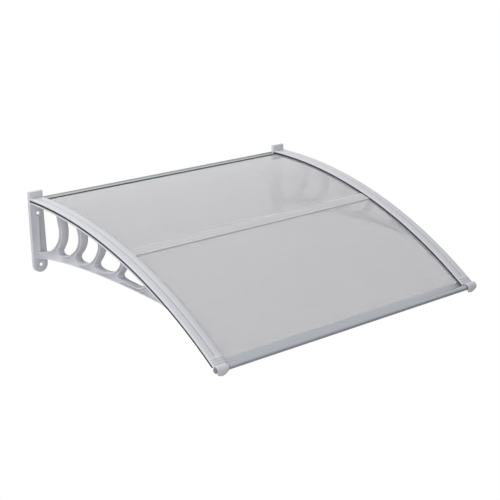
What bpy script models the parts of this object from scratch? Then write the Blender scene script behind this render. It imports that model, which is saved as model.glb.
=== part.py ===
"""Door canopy: two moulded wall brackets, two cover strips, two bent twin-wall sheets, rails and seals.

Metres, +Z up. The wall is the plane y = 0 and the canopy reaches towards -Y. The origin is on the wall face
of the back rail, level with the middle of the sheet where it meets the wall.
"""

import math

import bmesh
import bpy
import numpy as np

# Overall
WIDTH = 1.000
ARC_R = 1.4216
SHEET_T = 0.0045
GAP = 0.0003

# Wall plate of the bracket
PLATE_T = 0.0106
PLATE_W = 0.0455
PLATE_TOP = 0.0285
LOBE_R = 0.0235
LOBE_X = 0.0268
LOBE_Z = -0.1935
PLATE_BEND_Z = (-0.020, -0.170)
POCKETS = ((-0.012, -0.058), (-0.063, -0.112), (-0.117, -0.160))
POCKET_WALL = 0.0035
PLATE_WALL = 0.0035
PLATE_CHAMFER = 0.0009
UPPER_HOLE_Z = -0.0365
HOLE_R = 0.0050
BOSS_R = 0.0105
BOSS_H = 0.0014
DISH_RIM = 0.0022
RIDGE_W = 0.0050
RIDGE_H = 0.0025

# Arm and strut of the bracket
ARM_REACH = 0.615
RING_W = 0.024
RING_T = 0.0021
WEB_T = 0.0040
LEDGE_T = 0.0025
RIM_W = 0.0092
FLANGE_PAST = 0.0190
FLANGE_FADE = 0.060
ARM_LAP = 0.0010
ARM_BACK = 0.0311
ARM_LOW = (-0.0160, -0.0090)
STRUT_ROOT_Z = -0.1725
STRUT_TIP_DROP = 0.0201
STRUT_PULL_Z = (-0.1440, -0.1420)

# Arched openings from the wall outwards, each as depth and height fractions of the arm: down the side towards
# the wall, through the tight corner, along the floor and up the bowed side
OPENINGS = (
    (
        (0.0190, 0.110), (0.0780, 0.118), (0.1397, 0.180), (0.1836, 0.296),
        (0.2161, 0.475), (0.2240, 0.650), (0.2157, 0.810),
    ),
    (
        (0.2440, 0.790), (0.2478, 0.660), (0.2387, 0.448), (0.2120, 0.268), (0.2012, 0.205), (0.2090, 0.145),
        (0.2388, 0.128), (0.2878, 0.180), (0.3277, 0.282), (0.3648, 0.442), (0.3823, 0.665), (0.3764, 0.868),
    ),
    (
        (0.4035, 0.860), (0.4048, 0.656), (0.3880, 0.451), (0.3570, 0.278), (0.3488, 0.212), (0.3540, 0.142),
        (0.3813, 0.106), (0.4250, 0.125), (0.4644, 0.218), (0.4948, 0.352), (0.5244, 0.574), (0.5391, 0.818),
    ),
    (
        (0.5535, 0.820), (0.5390, 0.562), (0.5100, 0.318), (0.5022, 0.245), (0.5080, 0.165),
        (0.5369, 0.130), (0.5800, 0.145), (0.6261, 0.222), (0.6609, 0.345), (0.6913, 0.586), (0.7060, 0.820),
    ),
    (
        (0.7220, 0.760), (0.7111, 0.585), (0.6890, 0.360), (0.6816, 0.255), (0.6890, 0.175), (0.7200, 0.152),
        (0.7588, 0.156), (0.7980, 0.170), (0.8314, 0.245), (0.8600, 0.430), (0.8800, 0.680),
    ),
)
OPENING_LEAN = (0.010, 0.016, 0.012, 0.008, 0.0)
TIP_RIB = ((0.838, 0.040), (0.8620, 0.210), (0.8860, 0.430), (0.9060, 0.690), (0.9220, 1.000))

# Cover strip and its nose
COVER_W = 0.0445
COVER_TOP = 0.0108
COVER_LOW = 0.0070
COVER_RIM_LOW = 0.0055
COVER_BEVEL = 0.0016
GROOVE_X = 0.0213
GROOVE_W = 0.0020
GROOVE_D = 0.0011
RIDGE_BACK = (0.0289, 0.0214, 0.0147)
CROSS_W = 0.0034
CROSS_H = 0.0012
NOSE_T = 0.0022
NOSE_W = 0.0365
NOSE_PLAY = 0.0011
NOSE_AHEAD = 0.0008
LIP_SWELL = 0.0060

# Front rail
BEAD_BEYOND = 0.0106
BEAD_OFF = 0.0057
BEAD_R = 0.0085
BEAD_WALL = 0.0015
RAIL_LIP = 0.0160
LIP_T = 0.0014
RAIL_SHORT = 0.0015
PLUG_L = 0.0090
PLUG_HEAD = 0.0012

# Back rail
BACK_TOP = 0.0070
BACK_LOW = -0.0130
BACK_T = 0.0018
BACK_LIP = 0.0210

# Sheets and joint strip
SHEET_INSET = 0.0096
SHEET_END = 0.8885
CELL = 0.0100
SKIN_T = 0.0006
JOINT_S0 = 0.4260
JOINT_S1 = 0.4630
JOINT_T = 0.0013

# Clamp screws, as depths along the arc
SCREW_S = (0.075, 0.240, 0.420, 0.600)
SCREW_X = 0.0048
SCREW_R = 0.0015
HEAD_R = 0.0032

HALF = WIDTH / 2
BEAD_S = SHEET_END + BEAD_BEYOND
ARM_END = BEAD_S - ARM_BACK
SHEET_START = PLATE_T + 2 * GAP
TIP_S = ARC_R * math.asin(ARM_REACH / ARC_R)
ARM_START = TIP_S - ARM_LAP
FLANGE_END = TIP_S + FLANGE_PAST
STRUT_TIP_Z = math.sqrt(ARC_R**2 - ARM_REACH**2) - ARC_R - STRUT_TIP_DROP
JOINT_MID = (JOINT_S0 + JOINT_S1) / 2
RAIL_IN = SHEET_T / 2 + GAP
LEDGE_TOP = -RAIL_IN
FLANGE_LOW = LEDGE_TOP - LEDGE_T
RIM_TOP = -GAP
CENTRE_X = 0.0255
OPENING_TOP = FLANGE_LOW - RING_T + 0.0005


def clear_scene():
    for item in list(bpy.data.objects):
        bpy.data.objects.remove(item, do_unlink=True)


def arc_point(s, off=0.0):
    turn = s / ARC_R
    return (-(ARC_R + off) * math.sin(turn), (ARC_R + off) * math.cos(turn) - ARC_R)


def arc_height(depth, off=0.0):
    return math.sqrt((ARC_R + off) ** 2 - depth * depth) - ARC_R


def make_material(name, colour, roughness, metallic=0.0, transmission=0.0, ior=1.45):
    found = bpy.data.materials.get(name)
    if found:
        return found
    mat = bpy.data.materials.new(name)
    mat.use_nodes = True
    shader = mat.node_tree.nodes["Principled BSDF"]
    shader.inputs["Base Color"].default_value = (*colour, 1.0)
    shader.inputs["Roughness"].default_value = roughness
    shader.inputs["Metallic"].default_value = metallic
    shader.inputs["Transmission Weight"].default_value = transmission
    shader.inputs["IOR"].default_value = ior
    mat.diffuse_color = (*colour, 1.0)
    return mat


def mesh_object(name, verts, faces, material=None):
    mesh = bpy.data.meshes.new(name)
    mesh.from_pydata(verts, [], faces)
    mesh.validate()
    work = bmesh.new()
    work.from_mesh(mesh)
    bmesh.ops.remove_doubles(work, verts=work.verts, dist=1e-7)
    bmesh.ops.recalc_face_normals(work, faces=work.faces)
    work.to_mesh(mesh)
    work.free()
    item = bpy.data.objects.new(name, mesh)
    bpy.context.scene.collection.objects.link(item)
    if material:
        mesh.materials.append(material)
    return item


def loft(name, sections, closed_ends=True, material=None):
    """Closed body through sections that all have the same number of points."""
    count = len(sections[0])
    verts = [p for section in sections for p in section]
    faces = []
    for i in range(len(sections) - 1):
        a = i * count
        b = a + count
        for j in range(count):
            k = (j + 1) % count
            faces.append((a + j, a + k, b + k, b + j))
    if closed_ends:
        faces.append(tuple(range(count)))
        faces.append(tuple(range((len(sections) - 1) * count, len(sections) * count)))
    return mesh_object(name, verts, faces, material)


def prism(name, outline, x0, x1, material=None):
    """Extrudes a (y, z) outline between two x positions."""
    return loft(name, [[(x, y, z) for y, z in outline] for x in (x0, x1)], material=material)


def sweep(name, section, s0, s1, steps, material=None):
    """Sweeps an (x, off) section along the arc."""
    sections = []
    for i in range(steps + 1):
        s = s0 + (s1 - s0) * i / steps
        sections.append([(x, *arc_point(s, off)) for x, off in section])
    return loft(name, sections, material=material)


def boolean(target, tool, operation):
    tool.hide_render = True
    tool.display_type = "WIRE"
    mod = target.modifiers.new("cut", "BOOLEAN")
    mod.operation = operation
    mod.solver = "EXACT"
    mod.object = tool
    bpy.context.view_layer.objects.active = target
    bpy.ops.object.modifier_apply(modifier=mod.name)
    bpy.data.objects.remove(tool, do_unlink=True)
    return target


def tidy(item, material):
    """Drops slivers left by the cuts and gives the body its one material."""
    work = bmesh.new()
    work.from_mesh(item.data)
    bmesh.ops.remove_doubles(work, verts=work.verts, dist=0.00002)
    bmesh.ops.dissolve_degenerate(work, dist=0.00001, edges=work.edges)
    flat = [e for e in work.edges if len(e.link_faces) == 2 and e.calc_face_angle(1.0) < 0.0008]
    bmesh.ops.dissolve_edges(work, edges=flat, use_verts=False)
    loose = [v for v in work.verts if len(v.link_edges) == 2 and v.calc_edge_angle(1.0) < 0.0008]
    bmesh.ops.dissolve_verts(work, verts=loose)
    bmesh.ops.triangulate(work, faces=[f for f in work.faces if len(f.verts) > 4])
    bmesh.ops.recalc_face_normals(work, faces=work.faces)
    work.to_mesh(item.data)
    work.free()
    item.data.materials.clear()
    item.data.materials.append(material)
    for face in item.data.polygons:
        face.material_index = 0
    return item


def smooth(item, angle=32.0):
    for face in item.data.polygons:
        face.use_smooth = True
    work = bmesh.new()
    work.from_mesh(item.data)
    for edge in work.edges:
        sharp = len(edge.link_faces) != 2 or edge.calc_face_angle(0.0) > math.radians(angle)
        edge.smooth = not sharp
    work.to_mesh(item.data)
    work.free()
    return item


def cylinder(name, centre, axis, radius, length, segments=32):
    """Round bar along a unit axis, centred on a point."""
    axis = np.array(axis, float)
    side = np.cross(axis, (1.0, 0.0, 0.0) if abs(axis[0]) < 0.9 else (0.0, 1.0, 0.0))
    side /= np.linalg.norm(side)
    other = np.cross(axis, side)
    rings = []
    for end in (-0.5, 0.5):
        ring = []
        for i in range(segments):
            a = 2 * math.pi * i / segments
            p = np.array(centre) + axis * length * end + radius * (math.cos(a) * side + math.sin(a) * other)
            ring.append(tuple(p))
        rings.append(ring)
    return loft(name, rings)


def smooth_line(points, per=7):
    """Centripetal curve through the points."""
    pts = [np.array(p, float) for p in points]
    pts = [2 * pts[0] - pts[1]] + pts + [2 * pts[-1] - pts[-2]]
    line = []
    for i in range(1, len(pts) - 2):
        p0, p1, p2, p3 = pts[i - 1 : i + 3]
        t0 = 0.0
        t1 = t0 + math.sqrt(np.linalg.norm(p1 - p0))
        t2 = t1 + math.sqrt(np.linalg.norm(p2 - p1))
        t3 = t2 + math.sqrt(np.linalg.norm(p3 - p2))
        for k in range(per):
            t = t1 + (t2 - t1) * k / per
            a1 = (t1 - t) / (t1 - t0) * p0 + (t - t0) / (t1 - t0) * p1
            a2 = (t2 - t) / (t2 - t1) * p1 + (t - t1) / (t2 - t1) * p2
            a3 = (t3 - t) / (t3 - t2) * p2 + (t - t2) / (t3 - t2) * p3
            b1 = (t2 - t) / (t2 - t0) * a1 + (t - t0) / (t2 - t0) * a2
            b2 = (t3 - t) / (t3 - t1) * a2 + (t - t1) / (t3 - t1) * a3
            line.append((t2 - t) / (t2 - t1) * b1 + (t - t1) / (t2 - t1) * b2)
    line.append(pts[-2])
    return line


def offset_outline(points, distance):
    """Moves a closed outline outwards, mitred at its corners."""
    pts = [np.array(p, float) for p in points]
    area = sum(a[0] * b[1] - b[0] * a[1] for a, b in zip(pts, pts[1:] + pts[:1]))
    side = 1.0 if area > 0 else -1.0
    out = []
    for i, p in enumerate(pts):
        before = p - pts[i - 1]
        after = pts[(i + 1) % len(pts)] - p
        before /= np.linalg.norm(before)
        after /= np.linalg.norm(after)
        n0 = np.array((before[1], -before[0])) * side
        n1 = np.array((after[1], -after[0])) * side
        mid = (n0 + n1) / 2
        out.append(tuple(p + mid * distance / max(float(mid @ mid), 0.45)))
    return out


# Strut and rib lines of the bracket, as depth from the wall and height


def strut_samples(count=26):
    ends = ((PLATE_T * 0.5, STRUT_ROOT_Z), (ARM_REACH, STRUT_TIP_Z))
    pulls = ((ARM_REACH * 0.26, STRUT_PULL_Z[0]), (ARM_REACH * 0.60, STRUT_PULL_Z[1]))
    line = []
    for i in range(count + 1):
        t = i / count
        w = ((1 - t) ** 3, 3 * t * (1 - t) ** 2, 3 * t * t * (1 - t), t**3)
        corners = np.array((ends[0], pulls[0], pulls[1], ends[1]))
        line.append(tuple(float(v) for v in np.array(w) @ corners))
    return line


STRUT = strut_samples()


def strut_height(depth):
    return float(np.interp(depth, [p[0] for p in STRUT], [p[1] for p in STRUT]))


def arm_point(u, v):
    depth = u * ARM_REACH
    low = strut_height(depth)
    high = arc_height(depth, OPENING_TOP)
    return np.array((depth, low + (high - low) * v))


def opening_outline(index):
    """Closed (depth, height) outline of one arched opening, counted from the wall."""
    points = [arm_point(u, v) for u, v in OPENINGS[index]]
    tip_u = OPENINGS[index][-1][0]
    points.append(arm_point(tip_u - OPENING_LEAN[index], 1.0))
    if index == 0:
        wall_end = [np.array((-0.02, arc_height(0.0, OPENING_TOP))), np.array((-0.02, points[0][1]))]
        line = [tuple(p) for p in wall_end] + [tuple(p) for p in smooth_line(points, 4)]
    else:
        first = OPENINGS[index][0]
        points.insert(0, arm_point(2 * first[0] - OPENINGS[index][1][0] + (first[0] - tip_u) * 0.02, 1.0))
        line = [tuple(p) for p in smooth_line(points, 3)]
    start, end = line[0], line[-1]
    for i in range(1, 5):
        depth = end[0] + (start[0] - end[0]) * i / 5
        line.append((depth, arc_height(max(depth, 0.0), OPENING_TOP)))
    return [(-d, z) for d, z in line]


def strip_outline(points, thickness):
    """(y, z) outline of a thin wall that follows a line of depths and heights."""
    line = smooth_line(points, 4)
    sides = [[], []]
    for i, p in enumerate(line):
        run = line[min(i + 1, len(line) - 1)] - line[max(i - 1, 0)]
        run /= np.linalg.norm(run)
        for k, way in enumerate((0.5, -0.5)):
            q = p + way * thickness * np.array((-run[1], run[0]))
            sides[k].append((-q[0], q[1]))
    return sides[0] + sides[1][::-1]


def side_x(side, inward):
    """World x of a distance measured inwards from the outer face on the given side."""
    return side * (HALF - inward)


def build_bracket(side, name, material):
    centre = side_x(side, CENTRE_X)
    ring = (centre - RING_W / 2, centre + RING_W / 2)
    outlines = [opening_outline(i) for i in range(len(OPENINGS))]
    root = -PLATE_T * 0.5

    steps = 24
    flange = []
    stations = [-root + (FLANGE_END + root) * i / steps for i in range(steps + 1)]
    stations += [FLANGE_END + FLANGE_FADE * k for k in (0.2, 0.4, 0.7, 1.0)]
    for s in stations:
        narrow = max(0.0, (s - FLANGE_END) / FLANGE_FADE)
        outer = (CENTRE_X - RING_W / 2) * narrow
        inner = COVER_W + (CENTRE_X + RING_W / 2 - COVER_W) * narrow
        step = max(RIM_W, outer + 0.0030)
        high = RIM_TOP + (LEDGE_TOP + 0.0001 - RIM_TOP) * min(1.0, narrow * 2.5)
        box = (
            (outer, FLANGE_LOW), (outer, high), (step, high),
            (step, LEDGE_TOP), (inner, LEDGE_TOP), (inner, FLANGE_LOW),
        )
        flange.append([(side_x(side, x), *arc_point(s, off)) for x, off in box])
    body = loft(name, flange)

    web = [arc_point(-root + (FLANGE_END + root) * i / 26, FLANGE_LOW + 0.0012) for i in range(27)]
    web += [(-d, z + 0.001) for d, z in STRUT[::-1]]
    boolean(body, prism("web", web, centre - WEB_T / 2, centre + WEB_T / 2), "UNION")

    strip = [(-d, z) for d, z in STRUT] + [(-d, z + RING_T) for d, z in STRUT[::-1]]
    boolean(body, prism("strut", strip, *ring), "UNION")

    arm = []
    for i in range(11):
        s = ARM_START + (ARM_END - ARM_START) * i / 10
        low = ARM_LOW[0] + (ARM_LOW[1] - ARM_LOW[0]) * (i / 10) ** 0.8
        box = ((ring[0], low), (ring[0], LEDGE_TOP - 0.0001), (ring[1], LEDGE_TOP - 0.0001), (ring[1], low))
        arm.append([(x, *arc_point(s, off)) for x, off in box])
    boolean(body, loft("arm", arm), "UNION")

    for line in outlines:
        boolean(body, prism("ring", offset_outline(line, RING_T), *ring), "UNION")
    tip = strip_outline([arm_point(u, v) for u, v in TIP_RIB], RING_T)
    boolean(body, prism("tip rib", tip, *ring), "UNION")
    for line in outlines:
        boolean(body, prism("opening", line, centre - 0.05, centre + 0.05), "DIFFERENCE")

    behind = [(0.05, 0.1), (root, 0.1), (root, LOBE_Z - 0.1), (0.05, LOBE_Z - 0.1)]
    boolean(body, prism("trim", behind, centre - 0.1, centre + 0.1), "DIFFERENCE")

    outline = [(0.0, PLATE_TOP), (PLATE_W, PLATE_TOP)]
    outline += [(PLATE_W, PLATE_BEND_Z[0]), (LOBE_X + LOBE_R, PLATE_BEND_Z[1])]
    for i in range(17):
        a = -math.pi * i / 16
        outline.append((LOBE_X + LOBE_R * math.cos(a), LOBE_Z + LOBE_R * math.sin(a)))
    outline.append((0.0, PLATE_BEND_Z[0]))
    small = offset_outline(outline, -PLATE_CHAMFER)
    sections = []
    for line, depth in ((outline, 0.0), (outline, PLATE_T - PLATE_CHAMFER), (small, PLATE_T)):
        sections.append([(side_x(side, x), -depth, z) for x, z in line])
    boolean(body, loft("plate", sections), "UNION")

    ridge = [(-PLATE_T * 0.6, UPPER_HOLE_Z - BOSS_R * 0.7), (-PLATE_T - RIDGE_H, UPPER_HOLE_Z - BOSS_R * 0.7)]
    low = float(arm_point(*OPENINGS[0][0])[1]) - 0.001
    ridge += [(-PLATE_T - RIDGE_H, low), (-PLATE_T * 0.6, low)]
    boolean(body, prism("ridge", ridge, centre - RIDGE_W / 2, centre + RIDGE_W / 2), "UNION")

    outward = (0, 1, 0)
    middle = (centre, -PLATE_T * 0.8 - BOSS_H / 2, UPPER_HOLE_Z)
    boss = cylinder("boss", middle, outward, BOSS_R, PLATE_T * 0.4 + BOSS_H, 24)
    boolean(body, boss, "UNION")
    mouth = (centre, -PLATE_T - BOSS_H, UPPER_HOLE_Z)
    boolean(body, cylinder("dish", mouth, outward, BOSS_R - DISH_RIM, BOSS_H * 2, 24), "DIFFERENCE")
    lobe_x = side_x(side, LOBE_X)
    for x, z in ((centre, UPPER_HOLE_Z), (lobe_x, LOBE_Z)):
        hole = cylinder("hole", (x, -PLATE_T / 2, z), outward, HOLE_R, PLATE_T * 4, 20)
        boolean(body, hole, "DIFFERENCE")

    depth = PLATE_T - PLATE_WALL
    for top, bottom in POCKETS:
        shift = (LOBE_X - LOBE_R) * (PLATE_BEND_Z[0] - bottom) / (PLATE_BEND_Z[0] - LOBE_Z)
        edge = side_x(side, POCKET_WALL + shift), side_x(side, PLATE_W - POCKET_WALL)
        box = [(0.02, top), (-depth, top), (-depth, bottom), (0.02, bottom)]
        boolean(body, prism("pocket", box, *edge), "DIFFERENCE")
    lobe = cylinder("pocket", (lobe_x, 0.0, LOBE_Z), outward, LOBE_R - POCKET_WALL, depth * 2, 24)
    boolean(body, lobe, "DIFFERENCE")

    for s in SCREW_S:
        y, z = arc_point(s, 0.0)
        axis = (0.0, -math.sin(s / ARC_R), math.cos(s / ARC_R))
        x = side_x(side, SCREW_X)
        boolean(body, cylinder("bore", (x, y, z), axis, SCREW_R + 0.00035, 0.02, 10), "DIFFERENCE")
        low = arc_point(s, FLANGE_LOW)
        boolean(body, cylinder("sink", (x, *low), axis, HEAD_R + 0.00035, 0.0048, 12), "DIFFERENCE")
    return smooth(tidy(body, material), 28)


def nose_radius(x, turn):
    """Outer radius of the nose at a distance across it and an angle round the bead."""
    across = x / NOSE_W
    swell = max(0.0, math.sin(math.pi * min(1.0, across))) ** 1.2
    ease = min(1.0, max(0.0, (turn - 58.0) / 70.0))
    ease = ease * ease * (3 - 2 * ease)
    round_off = 0.0010 * max(0.0, (across - 0.80) / 0.20) ** 2
    crease = 0.0007 * math.exp(-(((turn - 56.0) / 4.0) ** 2))
    return BEAD_R + NOSE_PLAY + NOSE_T + LIP_SWELL * swell * ease - round_off - crease


def build_nose(side, name):
    """Hook that wraps the bead of the front rail with a little play; it starts flush with the outer face."""
    cy, cz = arc_point(BEAD_S, BEAD_OFF)
    tilt = BEAD_S / ARC_R
    inner = BEAD_R + NOSE_PLAY
    sections = []
    stations = (0.0, 0.03, 0.10, 0.21, 0.36, 0.54, 0.71, 0.85, 0.95, 1.0)
    turns = 19
    for t in stations:
        x = NOSE_W * t
        end = 100.0 + 46.0 * max(0.0, math.sin(math.pi * t)) ** 0.8
        ring = []
        for i in range(turns + 1):
            a = -80.0 + (end + 80.0) * i / turns
            ring.append((a, nose_radius(x, a)))
        for i in range(turns + 1):
            a = end + (-80.0 - end) * i / turns
            ring.append((a, inner))
        section = []
        for a, r in ring:
            n = r * math.cos(math.radians(a))
            f = r * math.sin(math.radians(a)) + NOSE_AHEAD
            y = cy - n * math.sin(tilt) - f * math.cos(tilt)
            z = cz + n * math.cos(tilt) - f * math.sin(tilt)
            section.append((side_x(side, x), y, z))
        sections.append(section)
    return loft(name, sections)


def build_cover(side, name, material):
    g0, g1 = GROOVE_X - GROOVE_W / 2, GROOVE_X + GROOVE_W / 2
    bevel = COVER_BEVEL
    section = [
        (0.0, COVER_RIM_LOW), (0.0, COVER_TOP - bevel), (bevel, COVER_TOP), (g0, COVER_TOP),
        (g0 + 0.0005, COVER_TOP - GROOVE_D), (g1 - 0.0005, COVER_TOP - GROOVE_D), (g1, COVER_TOP),
        (COVER_W - 2 * bevel, COVER_TOP), (COVER_W, COVER_TOP - bevel),
        (COVER_W, COVER_LOW), (RIM_W, COVER_LOW), (RIM_W, COVER_RIM_LOW),
    ]
    end = BEAD_S - BEAD_R - 0.0006
    body = sweep(name, [(side_x(side, x), off) for x, off in section], PLATE_T + GAP, end, 28)
    half = CROSS_W / 2
    for back in RIDGE_BACK:
        s = BEAD_S - back
        box = [(s - half, COVER_TOP - 0.0022), (s - half * 0.45, COVER_TOP + CROSS_H)]
        box += [(s + half * 0.45, COVER_TOP + CROSS_H), (s + half, COVER_TOP - 0.0022)]
        outline = [arc_point(a, off) for a, off in box]
        rib = prism("rib", outline, side_x(side, bevel * 0.8), side_x(side, COVER_W - bevel * 1.4))
        boolean(body, rib, "UNION")
    boolean(body, build_nose(side, "nose"), "UNION")
    for s in SCREW_S:
        axis = (0.0, -math.sin(s / ARC_R), math.cos(s / ARC_R))
        point = arc_point(s, COVER_RIM_LOW)
        bore = cylinder("bore", (side_x(side, SCREW_X), *point), axis, SCREW_R + 0.00035, 0.0080, 10)
        boolean(body, bore, "DIFFERENCE")
    return smooth(tidy(body, material), 24)


def build_gasket(side, name, material):
    lip = RIM_W - GAP
    top = COVER_LOW - GAP
    rim_top = COVER_RIM_LOW - GAP
    base = SHEET_T / 2 + GAP
    edge = COVER_W - 0.0002
    section = [
        (GAP, 0.0), (GAP, rim_top), (RIM_W + GAP, rim_top), (RIM_W + GAP, top),
        (edge, top), (edge, base), (RIM_W, base), (RIM_W, 0.0),
    ]
    rail_start = BEAD_S - BEAD_R - 0.0006 - RAIL_LIP - 0.0008
    body = sweep(name, [(side_x(side, x), off) for x, off in section], SHEET_START, rail_start, 28)
    tail = [(side_x(side, x), off) for x, off in ((GAP, 0.0), (GAP, rim_top), (lip, rim_top), (lip, 0.0))]
    boolean(body, sweep("tail", tail, rail_start - 0.002, BEAD_S - BEAD_R - 0.004, 3), "UNION")
    for s in SCREW_S:
        axis = (0.0, -math.sin(s / ARC_R), math.cos(s / ARC_R))
        point = arc_point(s, 0.002)
        bore = cylinder("bore", (side_x(side, SCREW_X), *point), axis, SCREW_R + 0.00035, 0.0200, 10)
        boolean(body, bore, "DIFFERENCE")
    return smooth(tidy(body, material), 28)


def build_panel(name, s0, s1, material):
    """Twin-wall sheet: two skins joined by upright ribs, its channels open at both side edges."""
    cells = max(4, round((s1 - s0) / CELL))
    half = SHEET_T / 2
    pitch = (s1 - s0) / cells
    wall = SKIN_T * 0.5
    cuts = []
    for i in range(cells + 1):
        s = s0 + pitch * i
        if i > 0:
            cuts.append(max(s - wall, s0) if i < cells else s - 2 * wall)
        if i < cells:
            cuts.append(s + wall if i > 0 else s + 2 * wall)
    stations = [s0] + sorted(cuts) + [s1]
    levels = (-half, -half + SKIN_T, half - SKIN_T, half)
    ends = (-(HALF - SHEET_INSET), HALF - SHEET_INSET)
    verts, faces = [], []
    for x in ends:
        for s in stations:
            for off in levels:
                verts.append((x, *arc_point(s, off)))
    n = len(stations)

    def at(end, i, k):
        return (end * n + i) * 4 + k

    for i in range(n - 1):
        hollow = i % 2 == 1
        for k in range(3):
            if hollow and k == 1:
                continue
            for end in (0, 1):
                faces.append((at(end, i, k), at(end, i + 1, k), at(end, i + 1, k + 1), at(end, i, k + 1)))
        for k in (0, 3):
            faces.append((at(0, i, k), at(0, i + 1, k), at(1, i + 1, k), at(1, i, k)))
        if hollow:
            for k in (1, 2):
                faces.append((at(0, i, k), at(0, i + 1, k), at(1, i + 1, k), at(1, i, k)))
            for j in (i, i + 1):
                faces.append((at(0, j, 1), at(0, j, 2), at(1, j, 2), at(1, j, 1)))
    for i in (0, n - 1):
        for k in range(3):
            faces.append((at(0, i, k), at(0, i, k + 1), at(1, i, k + 1), at(1, i, k)))
    return smooth(mesh_object(name, verts, faces, material), 20)


def build_joint(name, material):
    base = SHEET_T / 2 + GAP
    high = base + JOINT_T
    rib = 0.0006
    web = 0.0007
    s0, s1, mid = JOINT_S0, JOINT_S1, JOINT_MID
    top = [(s0, base), (s0, high - 0.0004), (s0 + 0.0012, high + rib), (s0 + 0.0030, high)]
    top += [(mid - 0.0080, high), (mid - 0.0072, high + rib), (mid - 0.0060, high)]
    top += [(mid + 0.0060, high), (mid + 0.0072, high + rib), (mid + 0.0080, high)]
    top += [(s1 - 0.0030, high), (s1 - 0.0012, high + rib), (s1, high - 0.0004), (s1, base)]
    lower = [(mid + web, base), (mid + web, -base), (s1, -base), (s1, -high), (s0, -high), (s0, -base)]
    lower += [(mid - web, -base), (mid - web, base)]
    outline = [arc_point(s, off) for s, off in top + lower]
    reach = HALF - COVER_W - 0.0005
    return smooth(prism(name, outline, -reach, reach, material), 28)


def build_back_rail(name, material):
    base = SHEET_T / 2 + GAP
    high = base + LIP_T
    drop = 0.0010
    outline = [
        (0.0, BACK_TOP), (0.0, BACK_LOW), (-BACK_T, BACK_LOW), (-BACK_T, -high),
        (-BACK_LIP * 0.85, -high - drop * 0.2), (-BACK_LIP * 0.85, -base - drop * 0.2),
        (-BACK_T, -base), (-BACK_T, base),
        (-BACK_LIP, base), (-BACK_LIP, high - 0.0004), (-BACK_LIP + 0.0008, high), (-BACK_T, high),
        (-BACK_T, BACK_TOP - 0.0004), (-BACK_T + 0.0004, BACK_TOP),
    ]
    reach = HALF - PLATE_W - 0.0004
    return smooth(prism(name, outline, -reach, reach, material), 20)


def build_back_seal(name, material):
    y0, y1 = -BACK_LIP - GAP, -BACK_LIP - 0.0026
    base = SHEET_T / 2 + GAP
    outline = [(y0, base), (y0, base + 0.0015), (y0 - 0.0006, base + 0.0019)]
    outline += [(y1 + 0.0006, base + 0.0017), (y1, base)]
    reach = HALF - PLATE_W - 0.0004
    return smooth(prism(name, outline, -reach, reach, material), 40)


def build_front_rail(name, material):
    base = SHEET_T / 2 + GAP
    high = base + LIP_T
    back = BEAD_S - BEAD_R - 0.0006
    lip = back - RAIL_LIP
    outline = [
        (lip, base), (lip + 0.0004, high), (back + 0.0040, high), (back + 0.0040, -high),
        (lip + 0.0004, -high), (lip, -base), (back, -base), (back, base),
    ]
    reach = HALF - RIM_W - 0.0010
    body = prism(name, [arc_point(s, off) for s, off in outline], -reach, reach)
    centre = (0.0, *arc_point(BEAD_S, BEAD_OFF))
    length = WIDTH - 2 * RAIL_SHORT
    boolean(body, cylinder("bead", centre, (1, 0, 0), BEAD_R, length, 36), "UNION")
    boolean(body, cylinder("bore", centre, (1, 0, 0), BEAD_R - BEAD_WALL, WIDTH * 1.1, 36), "DIFFERENCE")
    return smooth(tidy(body, material), 28)


def build_plug(side, name, material):
    y, z = arc_point(BEAD_S, BEAD_OFF)
    bore = BEAD_R - BEAD_WALL
    rows = (
        (PLUG_L, bore - 0.0010), (PLUG_L - 0.0008, bore - GAP), (PLUG_HEAD, bore - GAP),
        (PLUG_HEAD, BEAD_R - 0.0002), (0.0004, BEAD_R - 0.0002), (0.0, BEAD_R - 0.0008),
    )
    rings = []
    for inward, radius in rows:
        ring = []
        for i in range(24):
            a = 2 * math.pi * i / 24
            ring.append((side_x(side, inward), y + radius * math.cos(a), z + radius * math.sin(a)))
        rings.append(ring)
    return smooth(loft(name, rings, material=material), 35)


def build_screw(side, s, name, material):
    """Pan-head clamp screw, driven from beneath the arm into the cover strip."""
    turn = s / ARC_R
    axis = np.array((0.0, -math.sin(turn), math.cos(turn)))
    base = np.array((side_x(side, SCREW_X), *arc_point(s, 0.0)))
    low = FLANGE_LOW + 0.0001
    rows = (
        (low, 0.0014), (low, HEAD_R * 0.72), (low + 0.0005, HEAD_R * 0.95), (low + 0.0010, HEAD_R),
        (low + 0.0020, HEAD_R), (low + 0.0020, SCREW_R),
        (COVER_TOP - 0.0024, SCREW_R), (COVER_TOP - 0.0018, SCREW_R * 0.6),
    )
    side_dir = np.array((1.0, 0.0, 0.0))
    other = np.cross(axis, side_dir)
    rings = []
    for off, radius in rows:
        ring = []
        for i in range(10):
            a = 2 * math.pi * i / 10
            ring.append(tuple(base + axis * off + radius * (math.cos(a) * side_dir + math.sin(a) * other)))
        rings.append(ring)
    dent = []
    for i in range(10):
        a = 2 * math.pi * i / 10
        rim = 0.0011 * (math.cos(a) * side_dir + math.sin(a) * other)
        dent.append(tuple(base + axis * (low + 0.0010) + rim))
    return smooth(loft(name, [dent] + rings, material=material), 30)


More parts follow.
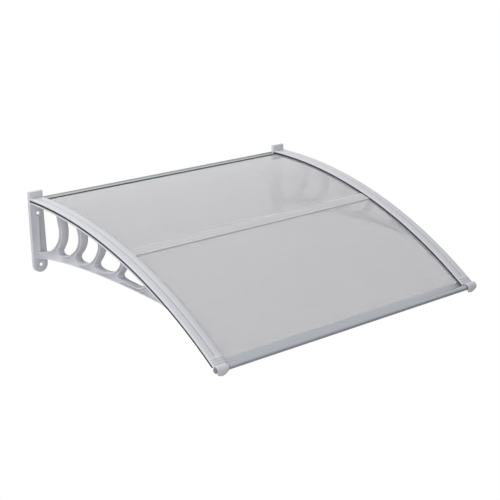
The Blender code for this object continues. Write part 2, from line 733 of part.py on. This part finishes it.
def build():
    clear_scene()
    plastic = make_material("grey_plastic", (0.60, 0.61, 0.65), 0.42)
    cover = make_material("cover_plastic", (0.64, 0.65, 0.69), 0.40)
    rubber = make_material("black_rubber", (0.016, 0.016, 0.018), 0.75)
    sheet = make_material("twin_wall_sheet", (0.74, 0.76, 0.78), 0.35, transmission=0.75, ior=1.58)
    clear = make_material("joint_clear", (0.80, 0.82, 0.84), 0.28, transmission=0.70, ior=1.50)
    silver = make_material("silver_rail", (0.66, 0.69, 0.71), 0.32, metallic=0.85)
    grey_rail = make_material("blue_grey_rail", (0.42, 0.46, 0.51), 0.36, metallic=0.80)
    plug = make_material("plug_plastic", (0.42, 0.43, 0.46), 0.50)
    steel = make_material("screw_steel", (0.55, 0.56, 0.58), 0.30, metallic=1.0)
    for side, word in ((-1, "left"), (1, "right")):
        build_bracket(side, f"{word}_bracket", plastic)
        build_cover(side, f"{word}_cover_strip", cover)
        build_gasket(side, f"{word}_gasket", rubber)
        build_plug(side, f"{word}_rail_plug", plug)
        for i, s in enumerate(SCREW_S):
            build_screw(side, s, f"{word}_clamp_screw_{i + 1}", steel)
    build_panel("rear_panel", SHEET_START, JOINT_MID - 0.0010, sheet)
    build_panel("front_panel", JOINT_MID + 0.0010, SHEET_END, sheet)
    build_joint("joint_strip", clear)
    build_back_rail("back_rail", silver)
    build_back_seal("back_rail_seal", rubber)
    build_front_rail("front_rail", grey_rail)
    bpy.context.view_layer.update()


build()
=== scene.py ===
"""Looks of a door canopy: moulded grey brackets and cover strips, frosted twin-wall sheets
and slim metal rails."""

import math

import bpy
from mathutils import Matrix, Vector


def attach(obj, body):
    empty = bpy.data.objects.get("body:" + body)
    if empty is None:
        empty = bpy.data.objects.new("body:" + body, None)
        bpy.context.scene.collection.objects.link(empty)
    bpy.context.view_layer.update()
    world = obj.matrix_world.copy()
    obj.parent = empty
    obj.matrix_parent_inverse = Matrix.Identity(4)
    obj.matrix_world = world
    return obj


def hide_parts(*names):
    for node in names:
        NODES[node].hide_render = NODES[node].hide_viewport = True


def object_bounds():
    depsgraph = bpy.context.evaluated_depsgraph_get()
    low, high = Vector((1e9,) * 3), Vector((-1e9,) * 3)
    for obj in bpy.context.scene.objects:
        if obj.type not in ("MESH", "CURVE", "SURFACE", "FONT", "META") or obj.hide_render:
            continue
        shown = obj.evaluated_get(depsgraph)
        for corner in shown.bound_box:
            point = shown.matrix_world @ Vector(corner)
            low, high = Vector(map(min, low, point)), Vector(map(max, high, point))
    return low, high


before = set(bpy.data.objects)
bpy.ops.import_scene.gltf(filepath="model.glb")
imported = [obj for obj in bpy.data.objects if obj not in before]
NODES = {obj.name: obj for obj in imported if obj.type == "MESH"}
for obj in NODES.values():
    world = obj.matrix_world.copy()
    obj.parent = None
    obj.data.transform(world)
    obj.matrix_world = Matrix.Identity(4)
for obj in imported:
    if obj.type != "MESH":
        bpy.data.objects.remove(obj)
CAD_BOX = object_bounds()

# Camera, fitted to the photograph's 500 x 500 frame
CAMERA_PLACE = (-2.31786, -3.05355, 0.90441)
CAMERA_YAW = 41.0297
CAMERA_DIP = 16.8115
CAMERA_ROLL = -0.384
CAMERA_LENS = 89.62
CAMERA_SHIFT = (0.0072, 0.0007)

# The cover strip's long groove: its middle inwards from the outer face, and where it ends at the cross ridges
GROOVE_IN = 0.0213
GROOVE_END_Y = -0.8145
GROOVE_MIDDLE_X = CAD_BOX[1][0] - GROOVE_IN

# Painted shade in that groove: half its full width, half its width with the faded edge, and its fade at the
# ridges
GROOVE_SHADE_CORE = 0.0006
GROOVE_SHADE_EDGE = 0.0012
GROOVE_SHADE_FADE = 0.001

# Edge rounding in metres
BRACKET_ROUND = 0.00035
COVER_ROUND = 0.00040
PLUG_ROUND = 0.00020
BACK_RAIL_ROUND = 0.00015
FRONT_RAIL_ROUND = 0.00020
ROUND_SEGMENTS = 2

# Clean-up of a CAD copy: merging distance in metres, and angles in degrees
MERGE_DISTANCE = 0.00001
FLAT_ANGLE = 0.5
ROUND_FROM_ANGLE = 30.0
SMOOTH_ANGLE = 34.0

# Patterns, drawn out along the canopy's width
STREAK_STRETCH = (0.8, 90.0, 90.0)
DIE_LINE_STRETCH = (2.0, 900.0, 900.0)
BUMP_DISTANCE = 0.0002
SCREWS_PER_SIDE = 4

FLOOR_Z = -1.10
FLOOR_SIZE = 60.0
FLOOR_GREY = 0.45
WORLD_LIGHT = 0.50

# Square softboxes, aimed at the middle of the canopy
CANOPY_MIDDLE = (0.0, -0.4, -0.1)
KEY_PLACE = (-1.7, 1.8, 3.4)
KEY_SIDE = 4.0
KEY_POWER = 130.0
FILL_PLACE = (-3.5, -2.3, 0.6)
FILL_SIDE = 2.6
FILL_POWER = 60.0


# Small helpers

def deselect_all():
    if bpy.context.object and bpy.context.object.mode != "OBJECT":
        bpy.ops.object.mode_set(mode="OBJECT")
    bpy.ops.object.select_all(action="DESELECT")


def pick(piece):
    deselect_all()
    piece.select_set(True)
    bpy.context.view_layer.objects.active = piece


def apply_modifiers(piece):
    pick(piece)
    for modifier in list(piece.modifiers):
        bpy.ops.object.modifier_apply(modifier=modifier.name)


def moulded_copy(node, name, edge_round):
    """A copy of a CAD node with its triangles merged and its edges rounded as a mould leaves them."""
    pick(NODES[node])
    bpy.ops.object.duplicate()
    piece = bpy.context.object
    piece.name = name
    piece.data.name = name
    for key in [k for k in piece.keys() if k.startswith("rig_")]:
        del piece[key]
    piece.parent = None
    bpy.ops.object.mode_set(mode="EDIT")
    bpy.ops.mesh.select_all(action="SELECT")
    bpy.ops.mesh.remove_doubles(threshold=MERGE_DISTANCE)
    bpy.ops.mesh.dissolve_limited(angle_limit=math.radians(FLAT_ANGLE))
    bpy.ops.mesh.normals_make_consistent(inside=False)
    bpy.ops.object.mode_set(mode="OBJECT")
    soft = piece.modifiers.new("round", "BEVEL")
    soft.width = edge_round
    soft.segments = ROUND_SEGMENTS
    soft.limit_method = "ANGLE"
    soft.angle_limit = math.radians(ROUND_FROM_ANGLE)
    soft.use_clamp_overlap = True
    apply_modifiers(piece)
    pick(piece)
    bpy.ops.object.shade_smooth_by_angle(angle=math.radians(SMOOTH_ANGLE))
    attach(piece, "root")
    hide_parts(node)
    return piece


def give(piece, material):
    piece.data.materials.clear()
    piece.data.materials.append(material)


# Node tools

def new_group(name, inputs, outputs):
    group = bpy.data.node_groups.new(name, "ShaderNodeTree")
    for label, kind, value in inputs:
        socket = group.interface.new_socket(name=label, in_out="INPUT", socket_type=kind)
        if value is not None:
            socket.default_value = value
    for label, kind in outputs:
        group.interface.new_socket(name=label, in_out="OUTPUT", socket_type=kind)
    start = group.nodes.new("NodeGroupInput")
    end = group.nodes.new("NodeGroupOutput")
    return group, start, end


def noise(tree, vector, scale, detail=3.0, roughness=0.5):
    node = tree.nodes.new("ShaderNodeTexNoise")
    node.inputs["Scale"].default_value = scale
    node.inputs["Detail"].default_value = detail
    node.inputs["Roughness"].default_value = roughness
    tree.links.new(vector, node.inputs["Vector"])
    return node.outputs["Fac"]


def spread(tree, value, low, high, to_low=0.0, to_high=1.0):
    node = tree.nodes.new("ShaderNodeMapRange")
    node.inputs["From Min"].default_value = low
    node.inputs["From Max"].default_value = high
    node.inputs["To Min"].default_value = to_low
    node.inputs["To Max"].default_value = to_high
    tree.links.new(value, node.inputs["Value"])
    return node.outputs["Result"]


def arithmetic(tree, operation, a, b=None):
    node = tree.nodes.new("ShaderNodeMath")
    node.operation = operation
    for socket, value in zip(node.inputs, (a, b)):
        if value is None:
            continue
        if isinstance(value, (int, float)):
            socket.default_value = value
        else:
            tree.links.new(value, socket)
    return node.outputs[0]


def blend_colour(tree, factor, a, b):
    node = tree.nodes.new("ShaderNodeMix")
    node.data_type = "RGBA"
    tree.links.new(factor, node.inputs["Factor"])
    for name, value in (("A", a), ("B", b)):
        socket = [s for s in node.inputs if s.name == name and s.type == "RGBA"][0]
        if isinstance(value, tuple):
            socket.default_value = (*value, 1.0)
        else:
            tree.links.new(value, socket)
    return [s for s in node.outputs if s.type == "RGBA"][0]


def stretched(tree, coordinates, scale):
    node = tree.nodes.new("ShaderNodeMapping")
    node.inputs["Scale"].default_value = scale
    tree.links.new(coordinates, node.inputs["Vector"])
    return node.outputs["Vector"]


def make_plastic_grain():
    """Fine spark-eroded mould texture with faint flow clouds."""
    group, start, end = new_group(
        "plastic_grain",
        [("Vector", "NodeSocketVector", None), ("Colour", "NodeSocketColor", (0.6, 0.6, 0.6, 1.0)),
         ("Cloud Colour", "NodeSocketColor", (0.5, 0.5, 0.5, 1.0)), ("Roughness", "NodeSocketFloat", 0.4),
         ("Grain Depth", "NodeSocketFloat", 0.2)],
        [("Colour", "NodeSocketColor"), ("Roughness", "NodeSocketFloat"), ("Normal", "NodeSocketVector")],
    )
    where = start.outputs["Vector"]
    clouds = spread(group, noise(group, where, 9.0, 4.0, 0.55), 0.38, 0.66)
    tone = blend_colour(group, clouds, start.outputs["Colour"], start.outputs["Cloud Colour"])
    group.links.new(tone, end.inputs["Colour"])
    rub = spread(group, noise(group, where, 60.0, 3.0, 0.6), 0.3, 0.7, -0.05, 0.06)
    group.links.new(arithmetic(group, "ADD", start.outputs["Roughness"], rub), end.inputs["Roughness"])
    bump = group.nodes.new("ShaderNodeBump")
    bump.inputs["Distance"].default_value = BUMP_DISTANCE
    group.links.new(start.outputs["Grain Depth"], bump.inputs["Strength"])
    group.links.new(noise(group, where, 1500.0, 2.0, 0.5), bump.inputs["Height"])
    group.links.new(bump.outputs["Normal"], end.inputs["Normal"])
    return group


def make_drawn_metal():
    """Long die lines of an extruded rail, which run with its length."""
    group, start, end = new_group(
        "drawn_metal",
        [("Vector", "NodeSocketVector", None), ("Colour", "NodeSocketColor", (0.6, 0.6, 0.6, 1.0)),
         ("Line Colour", "NodeSocketColor", (0.5, 0.5, 0.5, 1.0)), ("Roughness", "NodeSocketFloat", 0.35)],
        [("Colour", "NodeSocketColor"), ("Roughness", "NodeSocketFloat"), ("Normal", "NodeSocketVector")],
    )
    along = stretched(group, start.outputs["Vector"], DIE_LINE_STRETCH)
    lines = noise(group, along, 1.0, 3.0, 0.6)
    marks = spread(group, lines, 0.35, 0.7)
    tone = blend_colour(group, marks, start.outputs["Colour"], start.outputs["Line Colour"])
    group.links.new(tone, end.inputs["Colour"])
    rub = spread(group, lines, 0.3, 0.7, -0.07, 0.08)
    group.links.new(arithmetic(group, "ADD", start.outputs["Roughness"], rub), end.inputs["Roughness"])
    bump = group.nodes.new("ShaderNodeBump")
    bump.inputs["Strength"].default_value = 0.12
    bump.inputs["Distance"].default_value = BUMP_DISTANCE
    group.links.new(lines, bump.inputs["Height"])
    group.links.new(bump.outputs["Normal"], end.inputs["Normal"])
    return group


PLASTIC_GRAIN = make_plastic_grain()
DRAWN_METAL = make_drawn_metal()


# Materials

def start_material(name):
    material = bpy.data.materials.new(name)
    material.use_nodes = True
    tree = material.node_tree
    shader = tree.nodes["Principled BSDF"]
    where = tree.nodes.new("ShaderNodeTexCoord").outputs["Object"]
    return material, tree, shader, where


def place_group(tree, group, where, **values):
    node = tree.nodes.new("ShaderNodeGroup")
    node.node_tree = group
    tree.links.new(where, node.inputs["Vector"])
    for name, value in values.items():
        node.inputs[name.replace("_", " ")].default_value = value
    return node


def finish_from(tree, node, shader):
    tree.links.new(node.outputs["Colour"], shader.inputs["Base Color"])
    tree.links.new(node.outputs["Roughness"], shader.inputs["Roughness"])
    tree.links.new(node.outputs["Normal"], shader.inputs["Normal"])


def moulded_plastic(name, colour, cloud, roughness, grain):
    material, tree, shader, where = start_material(name)
    node = place_group(
        tree, PLASTIC_GRAIN, where, Colour=(*colour, 1.0), Cloud_Colour=(*cloud, 1.0),
        Roughness=roughness, Grain_Depth=grain,
    )
    finish_from(tree, node, shader)
    shader.inputs["IOR"].default_value = 1.50
    return material


def cover_plastic():
    """Moulded plastic of the cover strips, with painted shade darkening their long groove."""
    material = moulded_plastic("cover_plastic", (0.655, 0.66, 0.70), (0.625, 0.63, 0.67), 0.34, 0.18)
    tree = material.node_tree
    grain = [node for node in tree.nodes if node.type == "GROUP"][0]
    split = tree.nodes.new("ShaderNodeSeparateXYZ")
    tree.links.new(tree.nodes.new("ShaderNodeTexCoord").outputs["Object"], split.inputs[0])
    aside = arithmetic(tree, "SUBTRACT", arithmetic(tree, "ABSOLUTE", split.outputs["X"]), GROOVE_MIDDLE_X)
    in_groove = spread(tree, arithmetic(tree, "ABSOLUTE", aside), GROOVE_SHADE_CORE, GROOVE_SHADE_EDGE, 1.0, 0.0)
    before_ridges = spread(tree, split.outputs["Y"], GROOVE_END_Y, GROOVE_END_Y + GROOVE_SHADE_FADE)
    # Painted shade: the groove's floor is blended to dark grey in place of the shadow that falls in it, faded
    # out before the cross ridges
    painted_groove_shade = arithmetic(tree, "MULTIPLY", in_groove, before_ridges)
    tone = blend_colour(tree, painted_groove_shade, grain.outputs["Colour"], (0.36, 0.365, 0.39))
    tree.links.new(tone, tree.nodes["Principled BSDF"].inputs["Base Color"])
    return material


def extruded_metal(name, colour, line, roughness, metallic):
    material, tree, shader, where = start_material(name)
    node = place_group(
        tree, DRAWN_METAL, where, Colour=(*colour, 1.0), Line_Colour=(*line, 1.0), Roughness=roughness
    )
    finish_from(tree, node, shader)
    shader.inputs["Metallic"].default_value = metallic
    return material


def seal_rubber():
    material, tree, shader, where = start_material("black_seal_rubber")
    tone = blend_colour(tree, noise(tree, where, 300.0), (0.014, 0.014, 0.016), (0.030, 0.030, 0.032))
    tree.links.new(tone, shader.inputs["Base Color"])
    shader.inputs["Roughness"].default_value = 0.70
    return material


def streaked_plastic(name, colour, streak_colour, roughness, transmission, ior):
    """See-through plastic with soft streaks along the canopy's width, as the sheets' channels run."""
    material, tree, shader, where = start_material(name)
    streak = noise(tree, stretched(tree, where, STREAK_STRETCH), 1.0, 1.0, 0.5)
    tone = blend_colour(tree, spread(tree, streak, 0.3, 0.7), colour, streak_colour)
    tree.links.new(tone, shader.inputs["Base Color"])
    shader.inputs["Roughness"].default_value = roughness
    shader.inputs["Transmission Weight"].default_value = transmission
    shader.inputs["IOR"].default_value = ior
    return material


BRACKET_PLASTIC = moulded_plastic("bracket_plastic", (0.66, 0.665, 0.71), (0.62, 0.625, 0.67), 0.34, 0.25)
COVER_PLASTIC = cover_plastic()
PLUG_PLASTIC = moulded_plastic("plug_plastic", (0.22, 0.225, 0.24), (0.19, 0.195, 0.21), 0.55, 0.30)
SEAL_RUBBER = seal_rubber()
FROSTED_SHEET = streaked_plastic(
    "frosted_twin_wall_sheet", (0.87, 0.87, 0.89), (0.855, 0.855, 0.875),
    roughness=0.06, transmission=0.70, ior=1.58,
)
CLEAR_STRIP = streaked_plastic(
    "clear_joint_strip", (0.865, 0.865, 0.88), (0.84, 0.84, 0.855),
    roughness=0.24, transmission=0.42, ior=1.30,
)
SILVER_RAIL = extruded_metal("silver_back_rail", (0.50, 0.53, 0.545), (0.45, 0.475, 0.49), 0.36, 0.70)
GREY_RAIL = extruded_metal("blue_grey_front_rail", (0.45, 0.47, 0.51), (0.40, 0.42, 0.46), 0.33, 0.60)
SCREW_STEEL = extruded_metal("zinc_screw", (0.60, 0.61, 0.62), (0.50, 0.51, 0.52), 0.30, 1.0)


# Pieces

for side in ("left", "right"):
    give(moulded_copy(f"{side}_bracket", f"{side}_moulded_bracket", BRACKET_ROUND), BRACKET_PLASTIC)
    give(moulded_copy(f"{side}_cover_strip", f"{side}_moulded_cover", COVER_ROUND), COVER_PLASTIC)
    give(moulded_copy(f"{side}_rail_plug", f"{side}_moulded_plug", PLUG_ROUND), PLUG_PLASTIC)
    give(NODES[f"{side}_gasket"], SEAL_RUBBER)
    for number in range(1, SCREWS_PER_SIDE + 1):
        give(NODES[f"{side}_clamp_screw_{number}"], SCREW_STEEL)
give(NODES["rear_panel"], FROSTED_SHEET)
give(NODES["front_panel"], FROSTED_SHEET)
give(NODES["joint_strip"], CLEAR_STRIP)
give(moulded_copy("back_rail", "drawn_back_rail", BACK_RAIL_ROUND), SILVER_RAIL)
give(moulded_copy("front_rail", "drawn_front_rail", FRONT_RAIL_ROUND), GREY_RAIL)
give(NODES["back_rail_seal"], SEAL_RUBBER)


# Stage

def seen_directly(tree, with_gloss):
    """One where the camera looks straight at a surface or through the sheets, or in a gloss as well."""
    path = tree.nodes.new("ShaderNodeLightPath")
    seen = arithmetic(tree, "MAXIMUM", path.outputs["Is Camera Ray"], path.outputs["Is Transmission Ray"])
    return arithmetic(tree, "MAXIMUM", seen, path.outputs["Is Glossy Ray"]) if with_gloss else seen


def make_floor():
    """A grey floor for the light that it gives back, and plain white where the camera sees it."""
    deselect_all()
    bpy.ops.mesh.primitive_plane_add(size=FLOOR_SIZE, location=(0.0, 0.0, FLOOR_Z))
    floor = bpy.context.object
    floor.name = "floor"
    bpy.ops.object.transform_apply(location=True)
    material = bpy.data.materials.new("pale_floor")
    material.use_nodes = True
    tree = material.node_tree
    shader = tree.nodes["Principled BSDF"]
    shader.inputs["Base Color"].default_value = (FLOOR_GREY, FLOOR_GREY, FLOOR_GREY, 1.0)
    shader.inputs["Roughness"].default_value = 0.90
    glow = tree.nodes.new("ShaderNodeEmission")
    glow.inputs["Color"].default_value = (1.0, 1.0, 1.0, 1.0)
    glow.inputs["Strength"].default_value = 1.0
    blend = tree.nodes.new("ShaderNodeMixShader")
    tree.links.new(seen_directly(tree, False), blend.inputs["Fac"])
    tree.links.new(shader.outputs["BSDF"], blend.inputs[1])
    tree.links.new(glow.outputs["Emission"], blend.inputs[2])
    tree.links.new(blend.outputs["Shader"], tree.nodes["Material Output"].inputs["Surface"])
    give(floor, material)


def make_world():
    world = bpy.data.worlds.new("studio")
    bpy.context.scene.world = world
    world.use_nodes = True
    tree = world.node_tree
    tree.nodes["Background"].inputs["Color"].default_value = (1.0, 1.0, 1.0, 1.0)
    strength = spread(tree, seen_directly(tree, True), 0.0, 1.0, WORLD_LIGHT, 1.0)
    tree.links.new(strength, tree.nodes["Background"].inputs["Strength"])


def add_softbox(name, place, side, power):
    """A large soft lamp that leaves no reflection of itself on the sheets."""
    lamp = bpy.data.lights.new(name, "AREA")
    lamp.shape = "RECTANGLE"
    lamp.size = side
    lamp.size_y = side
    lamp.energy = power
    box = bpy.data.objects.new(name, lamp)
    bpy.context.scene.collection.objects.link(box)
    box.location = place
    box.visible_glossy = False
    box.rotation_euler = (Vector(CANOPY_MIDDLE) - Vector(place)).to_track_quat("-Z", "Y").to_euler()


def add_camera():
    yaw, dip, roll = (math.radians(a) for a in (CAMERA_YAW, CAMERA_DIP, CAMERA_ROLL))
    forward = Vector((math.sin(yaw) * math.cos(dip), math.cos(yaw) * math.cos(dip), -math.sin(dip)))
    right = Vector((math.cos(yaw), -math.sin(yaw), 0.0))
    up = right.cross(forward)
    right, up = (
        right * math.cos(roll) + up * math.sin(roll),
        up * math.cos(roll) - right * math.sin(roll),
    )
    data = bpy.data.cameras.new("camera")
    data.sensor_width = 36.0
    data.lens = CAMERA_LENS
    data.shift_x, data.shift_y = CAMERA_SHIFT
    camera = bpy.data.objects.new("camera", data)
    bpy.context.scene.collection.objects.link(camera)
    turn = Matrix((right, up, -forward)).transposed()
    camera.matrix_world = Matrix.Translation(CAMERA_PLACE) @ turn.to_4x4()
    bpy.context.scene.camera = camera


make_floor()
make_world()
add_softbox("key", KEY_PLACE, KEY_SIDE, KEY_POWER)
add_softbox("left fill", FILL_PLACE, FILL_SIDE, FILL_POWER)
add_camera()
bpy.context.scene.view_settings.view_transform = "Standard"
